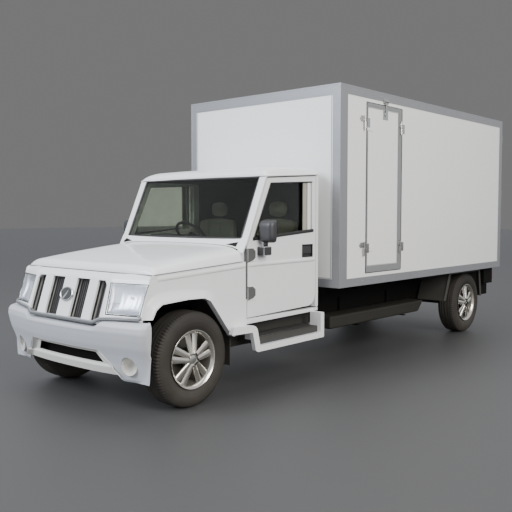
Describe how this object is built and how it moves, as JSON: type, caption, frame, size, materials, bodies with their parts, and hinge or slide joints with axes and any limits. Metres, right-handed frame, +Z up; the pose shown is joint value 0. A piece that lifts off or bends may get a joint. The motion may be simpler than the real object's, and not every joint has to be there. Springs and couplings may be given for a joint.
{
  "type": "mail delivery truck",
  "caption": "Light bonneted delivery truck with a two-seat cab, ladder chassis and a hard-sided freight box with side and rear doors.",
  "frame": {"origin": "on the ground, under the middle of the truck's overall box", "axes": "the front faces -Y, the truck's left side is +X, +Z is up"},
  "size_m": [1.954, 5.94, 2.6068],
  "materials": {
    "body_paint": "semi-gloss white paint",
    "chassis_black": "satin black chassis paint",
    "cast_parts": "rough cast",
    "spring_steel": "dull spring steel",
    "exhaust_steel": "dull, heat-stained",
    "tank_plastic": "matt moulded",
    "trim_plastic": "matt grained",
    "red_lens": "glossy red lens",
    "tread_rubber": "ribbed rubber",
    "dark_plastic": "fine-grained",
    "reflector": "polished reflector",
    "clear_lens": "clear moulded lens",
    "screen_glass": "laminated, green tint",
    "seat_fabric": "woven grey-beige cloth",
    "box_panel": "smooth white composite panel",
    "edge_rail": "satin extruded",
    "tyre": "moulded rubber",
    "alloy": "satin lacquered alloy",
    "door_glass": "tempered, green tint",
    "mirror_shell": "grained moulded",
    "bright_steel": "zinc-plated"
  },
  "bodies": {
    "chassis": {"chassis_frame": "chassis_black", "front_axle_beam": "cast_parts", "leaf_springs": "spring_steel", "rear_axle_housing": "cast_parts", "engine_and_gearbox": "cast_parts", "exhaust_system": "exhaust_steel", "fuel_tank": "tank_plastic", "mudguards": "trim_plastic", "rear_bumper": "chassis_black", "tail_lamps": "red_lens", "side_steps": "body_paint", "step_treads": "tread_rubber", "front_bumper": "body_paint", "grille_panel": "body_paint", "grille_mesh": "dark_plastic", "headlamp_housings": "reflector", "headlamp_lenses": "clear_lens", "front_fenders": "body_paint", "cab_floor_and_bulkheads": "body_paint", "cab_sides": "body_paint", "cab_roof": "body_paint", "windscreen": "screen_glass", "dashboard": "dark_plastic", "seats": "seat_fabric", "box_floor": "box_panel", "box_walls": "box_panel", "box_roof": "box_panel", "box_edge_rails": "edge_rail"},
    "propeller_shaft": {"propeller_shaft": "chassis_black"},
    "knuckle_left": {"steering_knuckle_left": "cast_parts"},
    "knuckle_right": {"steering_knuckle_right": "cast_parts"},
    "track_rod": {"tie_rod": "cast_parts"},
    "wheel_front_left": {"tyre_front_left": "tyre", "rim_front_left": "alloy", "brake_disc_left": "cast_parts"},
    "wheel_front_right": {"tyre_front_right": "tyre", "rim_front_right": "alloy", "brake_disc_right": "cast_parts"},
    "wheel_rear_left": {"tyre_rear_left": "tyre", "rim_rear_left": "alloy", "brake_drum_left": "cast_parts"},
    "wheel_rear_right": {"tyre_rear_right": "tyre", "rim_rear_right": "alloy", "brake_drum_right": "cast_parts"},
    "steering_wheel": {"steering_wheel": "dark_plastic"},
    "bonnet": {"bonnet": "body_paint"},
    "side_door": {"side_door": "box_panel"},
    "side_door_latch": {"side_door_latch": "bright_steel"},
    "cab_door_left": {"door_left": "body_paint"},
    "window_left": {"door_glass_left": "door_glass"},
    "handle_left": {"door_handle_left": "dark_plastic"},
    "mirror_left": {"mirror_left": "mirror_shell"},
    "rear_door_left": {"rear_door_left": "box_panel"},
    "lock_bar_left": {"rear_lock_bar_left": "bright_steel"},
    "cab_door_right": {"door_right": "body_paint"},
    "window_right": {"door_glass_right": "door_glass"},
    "handle_right": {"door_handle_right": "dark_plastic"},
    "mirror_right": {"mirror_right": "mirror_shell"},
    "rear_door_right": {"rear_door_right": "box_panel"},
    "lock_bar_right": {"rear_lock_bar_right": "bright_steel"}
  },
  "joints": [
    {"name": "steer_left", "type": "hinge", "parent": "chassis", "child": "knuckle_left", "pos_m": [0.62, -2.345, 0.3607], "axis": [0, 0, 1], "range_deg": [-30, 30]},
    {"name": "steer_right", "type": "hinge", "parent": "chassis", "child": "knuckle_right", "pos_m": [-0.62, -2.345, 0.3607], "axis": [0, 0, 1], "range_deg": [-30, 30]},
    {"name": "track_rod_shift", "type": "slide", "parent": "chassis", "child": "track_rod", "axis": [1, 0, 0], "range_m": [-0.0765, 0.0765]},
    {"name": "steering_wheel_turn", "type": "hinge", "parent": "chassis", "child": "steering_wheel", "pos_m": [-0.37, -1.2, 1.222], "axis": [0, 0.7431, 0.6691], "range_deg": [-510, 510]},
    {"name": "spin_front_left", "type": "hinge", "parent": "knuckle_left", "child": "wheel_front_left", "pos_m": [0.7375, -2.345, 0.3607], "axis": [1, 0, 0], "continuous": true},
    {"name": "spin_front_right", "type": "hinge", "parent": "knuckle_right", "child": "wheel_front_right", "pos_m": [-0.7375, -2.345, 0.3607], "axis": [1, 0, 0], "continuous": true},
    {"name": "spin_rear_left", "type": "hinge", "parent": "chassis", "child": "wheel_rear_left", "pos_m": [0.7375, 2.242, 0.3607], "axis": [1, 0, 0], "continuous": true},
    {"name": "spin_rear_right", "type": "hinge", "parent": "chassis", "child": "wheel_rear_right", "pos_m": [-0.7375, 2.242, 0.3607], "axis": [1, 0, 0], "continuous": true},
    {"name": "propeller_shaft_spin", "type": "hinge", "parent": "chassis", "child": "propeller_shaft", "pos_m": [0, -1.036, 0.56], "axis": [0, 0.9983, -0.0584], "continuous": true},
    {"name": "bonnet_lift", "type": "hinge", "parent": "chassis", "child": "bonnet", "pos_m": [0, -1.765, 1.2], "axis": [-1, 0, 0], "range_deg": [0, 50]},
    {"name": "cab_door_left_open", "type": "hinge", "parent": "chassis", "child": "cab_door_left", "pos_m": [0.806, -1.712, 1], "axis": [0, 0, -1], "range_deg": [0, 68]},
    {"name": "window_left_drop", "type": "slide", "parent": "cab_door_left", "child": "window_left", "axis": [0, 0, -1], "range_m": [0, 0.42]},
    {"name": "handle_left_pull", "type": "hinge", "parent": "cab_door_left", "child": "handle_left", "pos_m": [0.786, -0.9085, 1.149], "axis": [0, -1, 0], "range_deg": [0, 35]},
    {"name": "mirror_left_fold", "type": "hinge", "parent": "cab_door_left", "child": "mirror_left", "pos_m": [0.848, -1.537, 1.19], "axis": [0, 0, 1], "range_deg": [0, 75]},
    {"name": "cab_door_right_open", "type": "hinge", "parent": "chassis", "child": "cab_door_right", "pos_m": [-0.806, -1.712, 1], "axis": [0, 0, 1], "range_deg": [0, 68]},
    {"name": "window_right_drop", "type": "slide", "parent": "cab_door_right", "child": "window_right", "axis": [0, 0, -1], "range_m": [0, 0.42]},
    {"name": "handle_right_pull", "type": "hinge", "parent": "cab_door_right", "child": "handle_right", "pos_m": [-0.786, -0.9085, 1.149], "axis": [0, 1, 0], "range_deg": [0, 35]},
    {"name": "mirror_right_fold", "type": "hinge", "parent": "cab_door_right", "child": "mirror_right", "pos_m": [-0.848, -1.537, 1.19], "axis": [0, 0, -1], "range_deg": [0, 75]},
    {"name": "side_door_open", "type": "hinge", "parent": "chassis", "child": "side_door", "pos_m": [0.977, -0.232, 1.68], "axis": [0, 0, -1], "range_deg": [0, 110]},
    {"name": "side_door_latch_turn", "type": "hinge", "parent": "side_door", "child": "side_door_latch", "pos_m": [0.968, 0.115, 2.4], "axis": [1, 0, 0], "range_deg": [0, 90]},
    {"name": "rear_door_left_open", "type": "hinge", "parent": "chassis", "child": "rear_door_left", "pos_m": [0.952, 2.951, 1.68], "axis": [0, 0, -1], "range_deg": [0, 180]},
    {"name": "lock_bar_left_turn", "type": "hinge", "parent": "rear_door_left", "child": "lock_bar_left", "pos_m": [0.095, 2.958, 1.7], "axis": [0, 0, 1], "range_deg": [0, 90]},
    {"name": "rear_door_right_open", "type": "hinge", "parent": "chassis", "child": "rear_door_right", "pos_m": [-0.952, 2.951, 1.68], "axis": [0, 0, 1], "range_deg": [0, 180]},
    {"name": "lock_bar_right_turn", "type": "hinge", "parent": "rear_door_right", "child": "lock_bar_right", "pos_m": [-0.095, 2.958, 1.7], "axis": [0, 0, -1], "range_deg": [0, 90]}
  ],
  "couplings": [
    {"joint": "steer_right", "follows": "steer_left", "ratio": 1},
    {"joint": "track_rod_shift", "follows": "steer_left", "m_per_rad": -0.145},
    {"joint": "steering_wheel_turn", "follows": "steer_left", "ratio": 17},
    {"joint": "spin_rear_right", "follows": "spin_rear_left", "ratio": 1},
    {"joint": "propeller_shaft_spin", "follows": "spin_rear_left", "ratio": 4.1}
  ]
}
